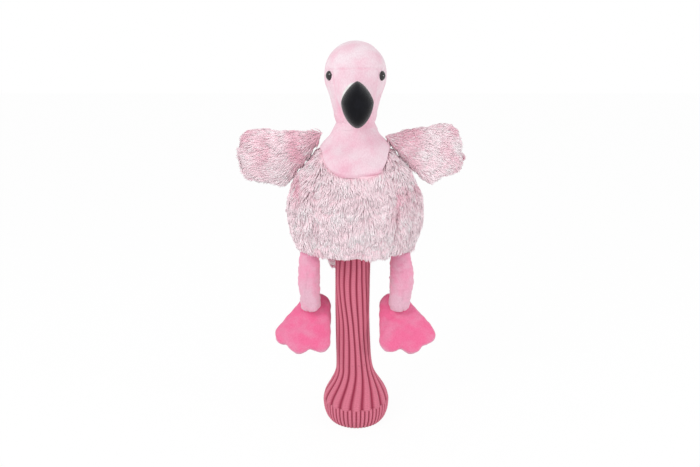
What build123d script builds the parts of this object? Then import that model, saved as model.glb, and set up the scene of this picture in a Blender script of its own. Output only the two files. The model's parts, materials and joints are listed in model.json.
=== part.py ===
from build123d import *
import math
import os

# Driver head cover: a stuffed flamingo sewn on top of a long knitted sock. Millimetres, +Z up.
# The bird faces -Y, and left and right are as seen from its front, so left is -X.
# The origin is the centre of the cuff's mouth, on the surface that the cover stands on.

# --- fabrics and clearances ---
plush_skin = 6.0  # long pile cloth of the body, wings and tail, to the middle of its pile
velour_skin = 3.0  # short pile cloth of the head, beak, legs and feet
layer_gap = 0.3  # left between layers and beside every moving seam
padding_thickness = 5.5
lining_thickness = 1.5
pocket_height = 85.0  # from the underside to the closed top of the pocket

# --- knitted sock ---
sock_radius = 20.0  # outside of the straight ribbed tube
sock_wall = 3.0
sock_length = 210.0  # from the floor to the hem of the body
cuff_height = 26.0  # from the hem ring to the seam with the tube
cuff_radius = 38.0  # outside, at that seam
hem_radius = 31.0  # outside, on the floor
hem_band = 6.0  # straight stretch of the mouth's wall
flare_height = 50.0  # from the cuff's seam to the straight tube

# --- body ---
hem_width = 136.0
belly_width = 150.0
shoulder_width = 142.0
neck_root_width = 58.0
neck_root_depth = 54.0
hem_depth = 116.0
belly_depth = 128.0
shoulder_depth = 120.0
belly_height = 40.0  # hem to the widest ring
shoulder_height = 64.0  # hem to the lower end of the shoulder slope
shoulder_rise = 57.0  # the slope that carries the wings
belly_panel_width = 80.0
bib_seam_height = 96.0  # hem to the bib's seam, on the body's axis
bib_seam_tilt = 14.6  # degrees, lower at the front
underside_thickness = 5.0

# --- neck and head ---
neck_rise = 19.0  # shoulder slope to the centre of the neck's bend
neck_ball = 20.0  # radius of the stuffed ball that the head bends on
ball_exposed = 18.0  # degrees below its middle to which that ball is free
head_rise = 44.0  # bend to the head's centre
head_radius = 32.6
head_base_radius = 22.5
head_base_rise = 4.0  # bend to the head's lower rim
brow_seam_rise = 5.0  # head's centre to the seam above the eyes
face_panel_width = 42.0

# --- beak ---
muzzle_width = 50.0
muzzle_height = 40.0
muzzle_drop = 15.0  # its centre below the head's centre, where it leaves the head
muzzle_root = 16.0  # how far in front of the head's axis the muzzle starts
beak_width = 32.0
beak_height = 44.0
beak_drop = 28.5  # the black tip's centre below the head's centre, at its seam
beak_seam_reach = 44.0  # head's axis to the seam of the black tip
beak_length = 17.0  # seam to the front of the black tip

# --- eyes ---
eye_radius = 5.0
eye_bulge = 3.0
eye_shank_radius = 2.0
eye_shank_length = 10.0
eye_side_angle = 34.7  # degrees forward of straight sideways
eye_drop_angle = 3.5  # degrees below the head's centre
washer_radius = 7.0
washer_thickness = 1.5
washer_clearance = 0.1

# --- wings ---
wing_length = 72.0  # seam to tip
wing_height = 59.0
wing_thickness = 24.0
wing_seam_length = 68.0
wing_knuckle = 3.5  # half the thickness at the seam
wing_tip_start = 35.0  # seam to the tip panel
wing_sweep = {"left": 0.0, "right": 28.0}  # degrees back about the seam
wing_lift = {"left": 0.0, "right": 8.0}  # degrees up from level

# --- legs and feet ---
leg_inset = 18.0  # side of the hem to the leg's middle
leg_forward = 12.0  # in front of the sock's axis
leg_length = 52.7  # hip's centre to ankle's centre
leg_ball = 11.0  # radius of the rounded ends
leg_calf = 13.0  # radius where it is thickest
calf_drop = 29.0  # hip's centre to that place
leg_ankle = 10.5  # radius just above the ankle
foot_tilt = 35.0  # degrees from upright, toes forward
foot_thickness = 17.0
foot_edge_round = 6.5
foot_drop = 9.0  # ankle's centre to the foot's top face
heel_radius = 13.0
toe_radius = 13.0
outer_toe_radius = 12.0
toe_reach = 40.0  # ankle to the toes' centres, along the foot
outer_toe_reach = 30.5
toe_spread = 23.0  # inner toe to middle toe
outer_toe_spread = 39.0  # inner toe to outer toe
foot_inset = 10.5  # how far the inner toe stands inside the leg
web_round = 4.0  # inside corners between the toes

# --- tail ---
tail_offset = -14.0  # its middle, to the left of the body's axis
tail_inset = 8.0  # back of the hem to the tail's middle
tail_length = 42.0
tail_width = 44.0
tail_thickness = 15.0
tail_knuckle = 4.0

# --- places that follow from the above ---
hem_z = sock_length
underside_top_z = hem_z + underside_thickness
shoulder_z = hem_z + shoulder_height
neck_root_z = shoulder_z + shoulder_rise
bend_z = neck_root_z + neck_rise
head_z = bend_z + head_rise
brow_z = head_z + brow_seam_rise
pocket_top_z = underside_top_z + pocket_height
hip_z = hem_z - layer_gap - leg_ball
ankle_z = hip_z - leg_length
tail_z = hem_z - layer_gap - tail_knuckle
sock_bore = sock_radius - sock_wall
leg_side = hem_width / 2 - leg_inset
tail_back = hem_depth / 2 - tail_inset
sides = (("left", -1), ("right", 1))
outer_half = {"left": Keep.BOTTOM, "right": Keep.TOP}  # of a plane whose normal is +X
front_half = Plane.XZ
mid_section = Plane.YZ
bib_seam = Plane(
    origin=(0, 0, hem_z + bib_seam_height),
    x_dir=(1, 0, 0),
    z_dir=(0, -math.sin(math.radians(bib_seam_tilt)), math.cos(math.radians(bib_seam_tilt))),
)
far = 2 * (head_z + wing_length)  # longer than anything here, for cutting blocks

os.makedirs("parts", exist_ok=True)


def save(piece, name, place=(0, 0, 0)):
    """Move a finished piece to its place, label it and write its own STEP file."""
    solid = piece.part.moved(Location(place))
    solid.label = name
    export_step(solid, f"parts/{name}.step")


# --- knitted sock ---
with BuildPart() as sock_tube:
    with BuildSketch(Plane.XZ):
        with BuildLine():
            outside = Spline(
                (sock_radius, cuff_height + flare_height),
                (cuff_radius, cuff_height),
                tangents=((0, -1), (0, -1)),
            )
            Line((sock_radius, underside_top_z), outside @ 0)
            inside = Spline(
                (sock_bore, cuff_height + flare_height),
                (cuff_radius - sock_wall, cuff_height),
                tangents=((0, -1), (0, -1)),
            )
            Line((sock_bore, underside_top_z), inside @ 0)
            Line((sock_bore, underside_top_z), (sock_radius, underside_top_z))
            Line(outside @ 1, inside @ 1)
        make_face()
    revolve(axis=Axis.Z)
save(sock_tube, "sock_tube")

with BuildPart() as sock_cuff:
    with BuildSketch(Plane.XZ):
        with BuildLine():
            outside = Spline((cuff_radius, cuff_height), (hem_radius, 0), tangents=((0, -1), (-1, -1)))
            mouth = Line((hem_radius - sock_wall, 0), (hem_radius - sock_wall, hem_band))
            inside = Spline(mouth @ 1, (cuff_radius - sock_wall, cuff_height), tangents=((0, 1), (0, 1)))
            Line(outside @ 1, mouth @ 0)
            Line(inside @ 1, outside @ 0)
        make_face()
    revolve(axis=Axis.Z)
save(sock_cuff, "sock_cuff")


# --- body ---
def torso_blank(inset):
    """The body from its hem to the root of the neck, drawn in all round by inset."""
    belly_rings = (
        (hem_z, hem_width, hem_depth),
        (hem_z + belly_height, belly_width, belly_depth),
        (shoulder_z, shoulder_width, shoulder_depth),
    )
    slope_rings = (belly_rings[-1], (neck_root_z, neck_root_width, neck_root_depth))
    with BuildPart() as blank:
        for z, width, depth in belly_rings:
            with BuildSketch(Plane.XY.offset(z)):
                Ellipse(width / 2 - inset, depth / 2 - inset)
        loft()
        for z, width, depth in slope_rings:
            with BuildSketch(Plane.XY.offset(z)):
                Ellipse(width / 2 - inset, depth / 2 - inset)
        loft(ruled=True)
    return blank.part


def neck_blank(root_inset, ball_radius):
    """The neck from its root to the ball that the head bends on."""
    free_z = bend_z - ball_radius * math.sin(math.radians(ball_exposed))
    with BuildPart() as blank:
        with BuildSketch(Plane.XY.offset(neck_root_z)):
            Ellipse(neck_root_width / 2 - root_inset, neck_root_depth / 2 - root_inset)
        with BuildSketch(Plane.XY.offset(free_z)):
            Circle(ball_radius * math.cos(math.radians(ball_exposed)))
        loft(ruled=True)
        with Locations((0, 0, bend_z)):
            Sphere(ball_radius)
    return blank.part


with BuildPart() as body_skin:
    add(torso_blank(0))
    add(neck_blank(0, neck_ball))
    add(torso_blank(plush_skin), mode=Mode.SUBTRACT)
    add(neck_blank(plush_skin, neck_ball - velour_skin), mode=Mode.SUBTRACT)

with BuildPart() as fur_skin:
    add(body_skin.part)
    split(bisect_by=bib_seam, keep=Keep.BOTTOM)

with BuildPart() as neck_skin:
    add(body_skin.part)
    split(bisect_by=bib_seam, keep=Keep.TOP)

for name, keep in (("breast_panel", Keep.TOP), ("nape_panel", Keep.BOTTOM)):
    with BuildPart() as neck_panel:
        add(neck_skin.part)
        split(bisect_by=front_half, keep=keep)
    save(neck_panel, name)

for name, keep in (("belly_panel", Keep.TOP), ("back_panel", Keep.BOTTOM)):
    with BuildPart() as centre_panel:
        add(fur_skin.part)
        split(bisect_by=front_half, keep=keep)
        Box(belly_panel_width, far, far, mode=Mode.INTERSECT)
    save(centre_panel, name)

for name, side in sides:
    with BuildPart() as flank_panel:
        add(fur_skin.part)
        split(bisect_by=mid_section.offset(side * belly_panel_width / 2), keep=outer_half[name])
    save(flank_panel, f"flank_panel_{name}")

with BuildPart() as underside_panel:
    with BuildSketch(Plane.XY.offset(hem_z)):
        Ellipse(hem_width / 2 - plush_skin - layer_gap, hem_depth / 2 - plush_skin - layer_gap)
        Circle(sock_radius + layer_gap, mode=Mode.SUBTRACT)
    extrude(amount=underside_thickness)
save(underside_panel, "underside_panel")

# --- padding, pocket and neck stuffing ---
padding_inset = plush_skin + layer_gap
lining_inset = padding_inset + padding_thickness + layer_gap
above_underside = Plane.XY.offset(underside_top_z)

for name, keep in (("padding_front", Keep.TOP), ("padding_back", Keep.BOTTOM)):
    with BuildPart() as padding:
        add(torso_blank(padding_inset))
        add(torso_blank(padding_inset + padding_thickness), mode=Mode.SUBTRACT)
        split(bisect_by=above_underside, keep=Keep.TOP)
        split(bisect_by=front_half, keep=keep)
    save(padding, name)

with BuildPart() as pocket_space:
    add(torso_blank(lining_inset + lining_thickness))
    split(bisect_by=Plane.XY.offset(pocket_top_z - lining_thickness), keep=Keep.BOTTOM)

with BuildPart() as pocket_lining:
    add(torso_blank(lining_inset))
    split(bisect_by=above_underside, keep=Keep.TOP)
    split(bisect_by=Plane.XY.offset(pocket_top_z), keep=Keep.BOTTOM)
    add(pocket_space.part, mode=Mode.SUBTRACT)
save(pocket_lining, "pocket_lining")

neck_core_radius = neck_root_depth / 2 - lining_inset
slope_per_mm = (shoulder_depth - neck_root_depth) / 2 / shoulder_rise
neck_base_z = pocket_top_z + layer_gap
neck_base_radius = neck_core_radius + slope_per_mm * (neck_root_z - neck_base_z)
with BuildPart() as neck_filling:
    with BuildSketch(Plane.XZ):
        Polygon(
            (0, neck_base_z),
            (neck_base_radius, neck_base_z),
            (neck_core_radius, neck_root_z),
            (neck_core_radius, bend_z),
            (0, bend_z),
            align=None,
        )
    revolve(axis=Axis.Z)
    with Locations((0, 0, bend_z)):
        Sphere(neck_ball - velour_skin - layer_gap)
save(neck_filling, "neck_filling")

# --- head ---
beak_seam = Plane.XZ.offset(beak_seam_reach)
# share of the beak's length, share of its size at the seam, and how far its centre drops
beak_stations = ((0, 1, 0), (0.65, 0.83, 3), (1, 0.45, 8.5))


def skull_blank(inset):
    """The round head, narrowing in a straight cone to the rim above the neck."""
    radius = head_radius - inset
    base_radius = head_base_radius - inset
    base_z = bend_z + head_base_rise + inset
    drop = head_z - base_z
    touch = math.acos(radius / math.hypot(base_radius, drop)) - math.atan2(drop, base_radius)
    with BuildPart() as blank:
        with BuildSketch(Plane.XZ):
            with BuildLine():
                dome = CenterArc((0, head_z), radius, math.degrees(touch), 90 - math.degrees(touch))
                Polyline(dome @ 1, (0, base_z), (base_radius, base_z), dome @ 0)
            make_face()
        revolve(axis=Axis.Z)
    return blank.part


def muzzle_blank(inset):
    """The snout from inside the head to the front of the black tip."""
    stations = [(muzzle_root, muzzle_width / 2, muzzle_height / 2, muzzle_drop)]
    for along, size, sink in beak_stations:
        reach = beak_seam_reach + along * (beak_length - inset)
        stations.append((reach, size * beak_width / 2, size * beak_height / 2, beak_drop + sink))
    with BuildPart() as blank:
        for reach, half_width, half_height, drop in stations:
            with BuildSketch(Plane.XZ.offset(reach)):
                with Locations((0, head_z - drop)):
                    Ellipse(half_width - inset, half_height - inset)
        loft()
    return blank.part


def head_blank(inset):
    """The head with its pink muzzle, up to the seam of the black tip."""
    with BuildPart() as blank:
        add(muzzle_blank(inset))
        split(bisect_by=beak_seam, keep=Keep.BOTTOM)
        add(skull_blank(inset))
    return blank.part


eye_planes = {}
for name, side in sides:
    forward = math.radians(eye_side_angle)
    down = math.radians(eye_drop_angle)
    outward = Vector(
        side * math.cos(forward) * math.cos(down),
        -math.sin(forward) * math.cos(down),
        -math.sin(down),
    )
    eye_planes[name] = Plane(origin=Vector(0, 0, head_z) + outward * head_radius, z_dir=outward)

inner_radius = head_radius - velour_skin
washer_sag = inner_radius - math.sqrt(inner_radius**2 - washer_radius**2)
washer_depth = velour_skin + washer_sag + washer_clearance + washer_thickness

with BuildPart() as head_skin:
    add(head_blank(0))
    add(head_blank(velour_skin), mode=Mode.SUBTRACT)
    with Locations((0, 0, bend_z)):
        Sphere(neck_ball + layer_gap, mode=Mode.SUBTRACT)
    with Locations(*eye_planes.values()):
        Cylinder(eye_shank_radius + layer_gap, 2 * eye_shank_length, mode=Mode.SUBTRACT)

with BuildPart() as face_block:
    with Locations((0, 0, brow_z)):
        Box(face_panel_width, far, far, align=(Align.CENTER, Align.MAX, Align.MAX))

with BuildPart() as crown_panel:
    add(head_skin.part)
    split(bisect_by=Plane.XY.offset(brow_z), keep=Keep.TOP)
save(crown_panel, "crown_panel")

with BuildPart() as face_panel:
    add(head_skin.part)
    add(face_block.part, mode=Mode.INTERSECT)
save(face_panel, "face_panel")

for name, side in sides:
    with BuildPart() as cheek_panel:
        add(head_skin.part)
        split(bisect_by=Plane.XY.offset(brow_z), keep=Keep.BOTTOM)
        split(bisect_by=mid_section, keep=outer_half[name])
        add(face_block.part, mode=Mode.SUBTRACT)
    save(cheek_panel, f"cheek_panel_{name}")

with BuildPart() as head_filling:
    add(head_blank(velour_skin + layer_gap))
    with Locations((0, 0, bend_z)):
        Sphere(neck_ball + layer_gap, mode=Mode.SUBTRACT)
    with Locations(*eye_planes.values()):
        Cylinder(washer_radius + layer_gap, 2 * (washer_depth + layer_gap), mode=Mode.SUBTRACT)
        Cylinder(eye_shank_radius + layer_gap, 2 * (eye_shank_length + layer_gap), mode=Mode.SUBTRACT)
save(head_filling, "head_filling")

# --- beak ---
for name, side in sides:
    with BuildPart() as beak_half:
        add(muzzle_blank(0))
        add(muzzle_blank(velour_skin), mode=Mode.SUBTRACT)
        split(bisect_by=beak_seam, keep=Keep.TOP)
        split(bisect_by=mid_section, keep=outer_half[name])
    save(beak_half, f"beak_{name}")

with BuildPart() as beak_filling:
    add(muzzle_blank(velour_skin + layer_gap))
    split(bisect_by=beak_seam, keep=Keep.TOP)
save(beak_filling, "beak_filling")

# --- eyes ---
dome_radius = (eye_radius**2 + eye_bulge**2) / (2 * eye_bulge)
for name, eye_plane in eye_planes.items():
    with BuildPart(eye_plane) as eye:
        with Locations((0, 0, layer_gap + eye_bulge - dome_radius)):
            Sphere(dome_radius)
        split(bisect_by=eye_plane.offset(layer_gap), keep=Keep.TOP)
        with Locations((0, 0, layer_gap)):
            Cylinder(
                eye_shank_radius,
                eye_shank_length + layer_gap,
                align=(Align.CENTER, Align.CENTER, Align.MAX),
            )
    save(eye, f"eye_{name}")

    with BuildPart(eye_plane.offset(-washer_depth)) as eye_washer:
        Cylinder(washer_radius, washer_thickness, align=(Align.CENTER, Align.CENTER, Align.MIN))
        Hole(eye_shank_radius + washer_clearance)
    save(eye_washer, f"eye_washer_{name}")

# --- wings ---
slope_run = (shoulder_width - neck_root_width) / 2
slope_length = math.hypot(slope_run, shoulder_rise)
slope_slant = math.degrees(math.atan2(slope_run, shoulder_rise))
# share of the wing's length, of its height, of its thickness, and of the seam's slant
wing_stations = ((0.3, 1.06, 0.83, 0.6), (0.63, 1, 1, 0.2), (0.87, 0.84, 0.87, 0), (1, 0.42, 0.42, 0))
wing_rise = 0.07  # how far the wing's middle climbs, as a share of its length


class WingFrame:
    """A wing's seam and its directions, swept back about the seam.

    The wing is drawn with the middle of its seam at the origin, and root is where that point goes.
    """

    def __init__(self, name, side):
        seam_off = wing_knuckle + layer_gap
        self.root = Vector(
            side * ((shoulder_width + neck_root_width) / 4 + seam_off * shoulder_rise / slope_length),
            0,
            (shoulder_z + neck_root_z) / 2 + seam_off * slope_run / slope_length,
        )
        self.seam = Vector(-side * slope_run, 0, shoulder_rise).normalized()
        turn = Axis((0, 0, 0), self.seam)
        self.outward = Vector(side, 0, 0).rotate(turn, side * wing_sweep[name])
        self.upward = Vector(0, 0, 1).rotate(turn, side * wing_sweep[name])
        self.forward = Vector(0, -1, 0).rotate(turn, side * wing_sweep[name])
        self.lift = math.radians(wing_lift[name])

    def section(self, out, up, slant):
        """A plane across the wing, with its X axis along the section's long way."""
        tilt = math.radians(slant)
        return Plane(
            origin=self.outward * out + self.upward * up,
            x_dir=self.upward * math.cos(tilt) - self.outward * math.sin(tilt),
            z_dir=self.outward * math.cos(tilt) + self.upward * math.sin(tilt),
        )

    def stuffed(self, inset, with_seam):
        """The stuffed pad, drawn in by inset, with or without its thin edge at the seam."""
        with BuildPart() as blank:
            if with_seam:
                with BuildSketch(self.section(0, 0, slope_slant)):
                    SlotOverall(wing_seam_length, 2 * wing_knuckle)
            for along, tall, thick, slant in wing_stations if with_seam else wing_stations[:-1]:
                out = along * wing_length * math.cos(self.lift)
                up = along * wing_length * (math.sin(self.lift) + wing_rise)
                tilt = slant * slope_slant + math.degrees(self.lift)
                with BuildSketch(self.section(out, up, tilt)):
                    SlotOverall(tall * wing_height - 2 * inset, thick * wing_thickness - 2 * inset)
            loft()
        return blank.part


for name, side in sides:
    frame = WingFrame(name, side)
    tip_seam = frame.section(wing_tip_start, 0, math.degrees(frame.lift))
    middle = Plane(origin=(0, 0, 0), z_dir=frame.forward)

    with BuildPart() as wing_skin:
        add(frame.stuffed(0, with_seam=True))
        with Locations(Plane(origin=(0, 0, 0), z_dir=frame.seam)):
            Cylinder(wing_knuckle, wing_seam_length)
        add(frame.stuffed(plush_skin, with_seam=False), mode=Mode.SUBTRACT)

    for panel, keep in (("front", Keep.TOP), ("back", Keep.BOTTOM)):
        with BuildPart() as wing_panel:
            add(wing_skin.part)
            split(bisect_by=tip_seam, keep=Keep.BOTTOM)
            split(bisect_by=middle, keep=keep)
        save(wing_panel, f"wing_{panel}_{name}", frame.root)

    with BuildPart() as wing_tip:
        add(wing_skin.part)
        split(bisect_by=tip_seam, keep=Keep.TOP)
    save(wing_tip, f"wing_tip_{name}", frame.root)

    with BuildPart() as wing_filling:
        add(frame.stuffed(plush_skin + layer_gap, with_seam=False))
    save(wing_filling, f"wing_filling_{name}", frame.root)


# --- legs ---
def leg_blank(side, inset):
    """A stuffed leg hanging straight down between two round ends."""
    hip = Plane(origin=(side * leg_side, -leg_forward, hip_z), x_dir=(1, 0, 0), z_dir=(0, -1, 0))
    with BuildPart() as blank:
        with BuildSketch(hip):
            with BuildLine():
                calf = Spline(
                    (leg_ball - inset, 0),
                    (leg_calf - inset, -calf_drop),
                    (leg_ankle - inset, -leg_length),
                )
                Polyline(calf @ 0, (0, 0), (0, -leg_length), calf @ 1)
            make_face()
        revolve(axis=Axis(hip.origin, (0, 0, 1)))
        with Locations(hip.origin, hip.origin - Vector(0, 0, leg_length)):
            Sphere(leg_ball - inset)
    return blank.part


for name, side in sides:
    with BuildPart() as leg_skin:
        add(leg_blank(side, 0))
        add(leg_blank(side, velour_skin), mode=Mode.SUBTRACT)
    save(leg_skin, f"leg_skin_{name}")

    with BuildPart() as leg_filling:
        add(leg_blank(side, velour_skin + layer_gap))
    save(leg_filling, f"leg_filling_{name}")


# --- feet ---
foot_lean = math.radians(foot_tilt)
foot_normal = Vector(0, -math.cos(foot_lean), math.sin(foot_lean))


def foot_plane(side):
    """The middle of a foot's thickness, with its origin square below the ankle."""
    ankle = Vector(side * leg_side, -leg_forward, ankle_z)
    centre = ankle - foot_normal * (foot_drop + foot_thickness / 2)
    return Plane(origin=centre, x_dir=(1, 0, 0), z_dir=foot_normal)


def foot_blank(side, inset, seat_radius):
    """A webbed foot with three round toes, and a shallow round seat for the leg's end."""
    inner = (-side * foot_inset, -toe_reach)
    middle = (side * (toe_spread - foot_inset), -toe_reach)
    outer = (side * (outer_toe_spread - foot_inset), -outer_toe_reach)
    palm_back = heel_radius - toe_radius / 2
    with BuildPart() as blank:
        with BuildSketch(foot_plane(side)):
            Circle(heel_radius)
            with Locations((inner[0], inner[1] + palm_back), (outer[0] - side * palm_back, outer[1])):
                Circle(outer_toe_radius)
            make_hull()
            with Locations(inner, middle):
                Circle(toe_radius)
            with Locations(outer):
                Circle(outer_toe_radius)
            offset(amount=web_round)
            offset(amount=-web_round - inset)
        extrude(amount=foot_thickness / 2 - inset, both=True)
        flat_faces = blank.faces().filter_by(Axis((0, 0, 0), foot_normal))
        fillet(flat_faces.edges(), radius=foot_edge_round - inset)
        with Locations((side * leg_side, -leg_forward, ankle_z)):
            Sphere(seat_radius, mode=Mode.SUBTRACT)
    return blank.part


seat = leg_ball + layer_gap
for name, side in sides:
    for panel, keep in (("upper", Keep.TOP), ("sole", Keep.BOTTOM)):
        with BuildPart() as foot_panel:
            add(foot_blank(side, 0, seat))
            add(foot_blank(side, velour_skin, seat + velour_skin), mode=Mode.SUBTRACT)
            split(bisect_by=foot_plane(side), keep=keep)
        save(foot_panel, f"foot_{panel}_{name}")

    with BuildPart() as foot_filling:
        add(foot_blank(side, velour_skin + layer_gap, seat + velour_skin + layer_gap))
    save(foot_filling, f"foot_filling_{name}")

# --- tail ---
# share of the tail's length, width and thickness
tail_stations = ((0, 0.64, 0.53), (0.35, 0.92, 0.9), (0.65, 1, 1), (0.9, 0.7, 0.75), (1, 0.3, 0.35))


def tail_blank(inset, stations):
    """The flat stuffed tuft, hanging from its seam."""
    with BuildPart() as blank:
        for along, wide, thick in stations:
            with BuildSketch(Plane.XY.offset(tail_z - along * tail_length)):
                with Locations((tail_offset, tail_back)):
                    Ellipse(wide * tail_width / 2 - inset, thick * tail_thickness / 2 - inset)
        loft()
    return blank.part


with BuildPart() as tail_skin:
    add(tail_blank(0, tail_stations))
    with Locations(Location((tail_offset, tail_back, tail_z), (0, 90, 0))):
        Cylinder(tail_knuckle, tail_stations[0][1] * tail_width)
    add(tail_blank(velour_skin, tail_stations[1:4]), mode=Mode.SUBTRACT)
save(tail_skin, "tail_skin")

with BuildPart() as tail_filling:
    add(tail_blank(velour_skin + layer_gap, tail_stations[1:4]))
save(tail_filling, "tail_filling")
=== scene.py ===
"""Looks of a stuffed flamingo driver cover: its plush, velour, knitting, beak and eyes."""

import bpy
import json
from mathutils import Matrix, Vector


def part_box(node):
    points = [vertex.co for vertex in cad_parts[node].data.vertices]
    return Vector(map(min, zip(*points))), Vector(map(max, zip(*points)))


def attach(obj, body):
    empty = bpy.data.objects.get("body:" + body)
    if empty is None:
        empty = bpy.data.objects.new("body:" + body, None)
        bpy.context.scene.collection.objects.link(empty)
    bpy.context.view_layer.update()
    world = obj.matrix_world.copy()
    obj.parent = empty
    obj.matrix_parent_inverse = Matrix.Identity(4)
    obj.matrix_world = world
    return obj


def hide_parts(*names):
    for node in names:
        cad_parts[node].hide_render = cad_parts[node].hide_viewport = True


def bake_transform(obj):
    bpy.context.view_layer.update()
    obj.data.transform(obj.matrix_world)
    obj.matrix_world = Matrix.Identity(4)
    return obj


bl_info = {
    "name": "Flamingo Driver Cover",
    "version": (1, 0, 0),
    "blender": (4, 5, 0),
    "location": "View3D > Sidebar > Driver Cover",
    "description": "Dresses the packed driver cover in long plush, velour and ribbed knitting",
    "category": "Object",
}

import json
import math

import bpy
import numpy as np

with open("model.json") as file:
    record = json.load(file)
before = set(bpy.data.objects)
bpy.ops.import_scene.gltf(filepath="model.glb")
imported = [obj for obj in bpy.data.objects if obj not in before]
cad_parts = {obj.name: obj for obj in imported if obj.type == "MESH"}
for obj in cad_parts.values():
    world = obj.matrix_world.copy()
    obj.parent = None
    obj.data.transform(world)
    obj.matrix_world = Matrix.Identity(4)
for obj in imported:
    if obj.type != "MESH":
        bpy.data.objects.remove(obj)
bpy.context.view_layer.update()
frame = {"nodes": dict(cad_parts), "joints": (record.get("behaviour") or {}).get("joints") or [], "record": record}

# All shapes are worked out in millimetres and become metres when their mesh is made.
MM = 0.001
SIDES = {"left": -1, "right": 1}
LEFT_RIGHT = tuple(SIDES)
PIVOT = {joint["name"]: np.array(joint["pos_m"]) / MM for joint in frame["joints"]}
AXIS = {joint["name"]: np.array(joint["axis"], float) for joint in frame["joints"]}


def low(node, axis):
    """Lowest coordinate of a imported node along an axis, in mm."""
    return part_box(node)[0][axis] / MM


def high(node, axis):
    """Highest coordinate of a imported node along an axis, in mm."""
    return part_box(node)[1][axis] / MM


X, Y, Z = 0, 1, 2
HEM_Z = low("underside_panel", Z)
NECK_Z = PIVOT["neck_turn"][Z]
BEND_Z = PIVOT["neck_nod"][Z]
BODY_HALF_WIDTH = high("flank_panel_right", X)
BODY_HALF_DEPTH = high("back_panel", Y)
HEAD_RADIUS = high("crown_panel", X)
HEAD_Z = high("crown_panel", Z) - HEAD_RADIUS
TUBE_RADIUS = 20.0
CUFF_RADIUS = high("sock_cuff", X)
CUFF_SEAM_Z = high("sock_cuff", Z)


def linear(hex_colour):
    """sRGB hex to linear RGBA: below 0.04045 a straight line, above it a power of 2.4."""
    srgb = np.array([int(hex_colour[i:i + 2], 16) for i in (0, 2, 4)]) / 255
    low_part = srgb / 12.92
    high_part = ((srgb + 0.055) / 1.055) ** 2.4
    return (*np.where(srgb <= 0.04045, low_part, high_part).tolist(), 1.0)


def size(name, default, text):
    """A length in millimetres that a user may change."""
    return bpy.props.FloatProperty(
        name=name, description=text, default=default, min=0.0, soft_max=4 * default
    )


def count(name, default, text):
    """A number of things that a user may change."""
    return bpy.props.IntProperty(name=name, description=text, default=default, min=1)


def colour(name, hex_colour, text):
    """A colour that a user may change, given as sRGB hex."""
    return bpy.props.FloatVectorProperty(
        name=name, description=text, default=linear(hex_colour), size=4, subtype="COLOR", min=0, max=1
    )


# ---------------------------------------------------------------- settings


class PlushSettings(bpy.types.PropertyGroup):
    """Long pile cloth of the body, wings and tail."""

    inset: size("Backing Inset", 5.0, "Packed surface to the pile's backing cloth, mm")
    length: size("Pile Length", 11.0, "Length of a lock of pile, mm")
    width: size("Lock Width", 1.6, "Width of a lock at its root, mm")
    rise: size("Pile Rise", 2.6, "How far a lock stands off its backing, mm")
    body_locks: count("Body Locks", 8600, "Locks of pile on each body panel")
    wing_locks: count("Wing Locks", 8600, "Locks of pile on each wing")
    tail_locks: count("Tail Locks", 2200, "Locks of pile on the tail")
    # the root colour is painted shade: the pile drawn darker and pinker deep down between the locks
    root: colour("Root", "F8CDD9", "Colour deep in the pile")
    pale: colour("Pale", "FFE8EF", "Colour of the pile's outer half")
    # the pinker colour serves both the cloth's own pinker places, such as the wing tips, and painted shade under
    # the wings, in creases and at the wing roots
    pink_and_shade: colour("Blush", "F2A9C0", "Colour of the pinker places")
    bloom: colour("Bloom", "FFFAFC", "Colour of the whitest tips")


class VelourSettings(bpy.types.PropertyGroup):
    """Short pile cloth of the head, bib, legs and feet."""

    head: colour("Head", "E4CFD7", "Short pile of the head and bib")
    # the pinker head colour serves the cloth's pinker blotches and seams and also painted shade on the head's
    # underside, the throat and the bib's lower edge
    head_pink_and_shade: colour("Head Blush", "E3AABD", "Pinker places of the head and bib")
    leg: colour("Leg", "E48DAB", "Short pile of the legs")
    leg_pale: colour("Leg Shine", "D7A7B9", "Leg pile brushed the other way")
    foot: colour("Foot", "E4658F", "Short pile of the feet's upper side")
    # painted sheen: the lighter pink of the feet's rim and under side, where the pile catches the light
    foot_rim_sheen: colour("Foot Rim", "D68FA9", "Short pile of the feet's under side")
    black: colour("Beak", "07070C", "Short pile of the beak")


class KnitSettings(bpy.types.PropertyGroup):
    """Ribbed knitting of the sock."""

    ribs: count("Tube Ribs", 18, "Ribs around the tube")
    cuff_ribs: count("Cuff Ribs", 48, "Ribs around the cuff")
    stitch: size("Stitch Height", 2.0, "Height of a stitch, mm")
    rib_depth: size("Rib Depth", 2.3, "Depth of the furrows between ribs, mm")
    wall: size("Wall", 3.0, "Thickness of the knitting, mm")
    yarn: colour("Yarn", "D57D91", "Top of the ribs")
    furrow: colour("Furrow", "90314A", "Bottom of the furrows")


class StuffingSettings(bpy.types.PropertyGroup):
    """How stuffed pieces swell."""

    pressure: bpy.props.FloatProperty(
        name="Pressure", description="Push of the stuffing on its cloth", default=4.0, min=0.0
    )
    steps: count("Steps", 20, "Steps for which the cloth settles")
    leg_swell: size("Leg Swell", 1.2, "Furthest that a leg's cloth may move, mm")
    foot_swell: size("Foot Swell", 2.2, "Furthest that a foot's cloth may move, mm")
    wing_swell: size("Wing Swell", 2.5, "Furthest that a wing's cloth may move, mm")


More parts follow.
